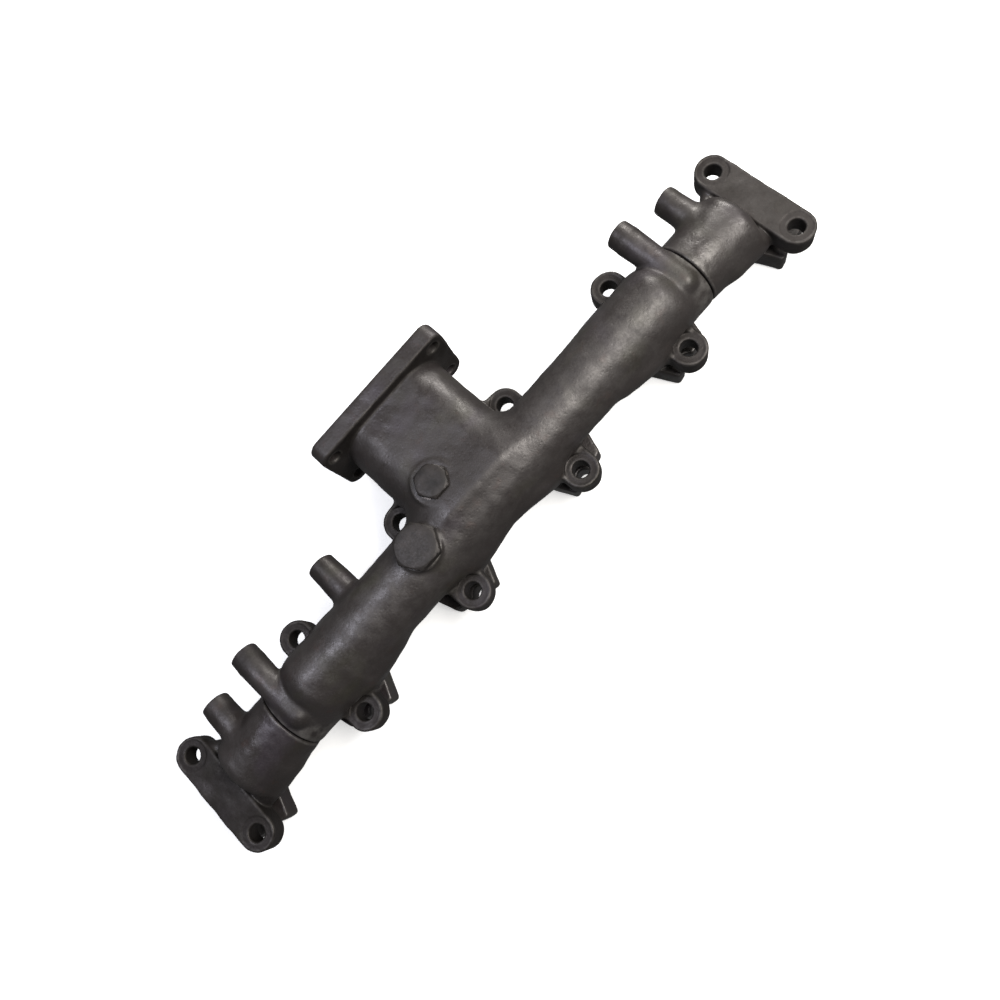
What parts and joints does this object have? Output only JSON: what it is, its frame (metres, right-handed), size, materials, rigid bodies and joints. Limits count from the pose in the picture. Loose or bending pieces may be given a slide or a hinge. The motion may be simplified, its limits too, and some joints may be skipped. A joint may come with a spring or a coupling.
{
  "type": "exhaust manifold",
  "caption": "Log-type exhaust manifold in cast sections joined by sliding sealed joints, with port flanges, bolt bars, support pegs and a rectangular outlet flange.",
  "frame": {"origin": "on the cylinder head face, midway between ports 3 and 4 on the port row", "axes": "+X along the manifold towards the rear end (port 6), +Y towards the outlet flange, +Z out of the head"},
  "size_m": [0.712, 0.1805, 0.1],
  "materials": {
    "cast_iron": "bare, oiled and slightly sooted cast surface",
    "sleeve_steel": "ground steel",
    "ring_iron": "turned iron",
    "plug_steel": "heat-darkened steel",
    "washer_copper": "dulled copper"
  },
  "bodies": {
    "centre": {"centre_section": "cast_iron", "front_joint_sleeve": "sleeve_steel", "rear_joint_sleeve": "sleeve_steel", "neck_port_plug": "plug_steel", "neck_port_washer": "washer_copper", "collector_port_plug": "plug_steel", "collector_port_washer": "washer_copper"},
    "front_end": {"front_end_section": "cast_iron", "front_seal_ring_inner": "ring_iron", "front_seal_ring_middle": "ring_iron", "front_seal_ring_outer": "ring_iron"},
    "rear_end": {"rear_end_section": "cast_iron", "rear_seal_ring_inner": "ring_iron", "rear_seal_ring_middle": "ring_iron", "rear_seal_ring_outer": "ring_iron"}
  },
  "joints": [
    {"name": "front_slip", "type": "slide", "parent": "centre", "child": "front_end", "axis": [-1, 0, 0], "range_m": [-0.001, 0.001]},
    {"name": "rear_slip", "type": "slide", "parent": "centre", "child": "rear_end", "axis": [1, 0, 0], "range_m": [-0.001, 0.001]}
  ]
}
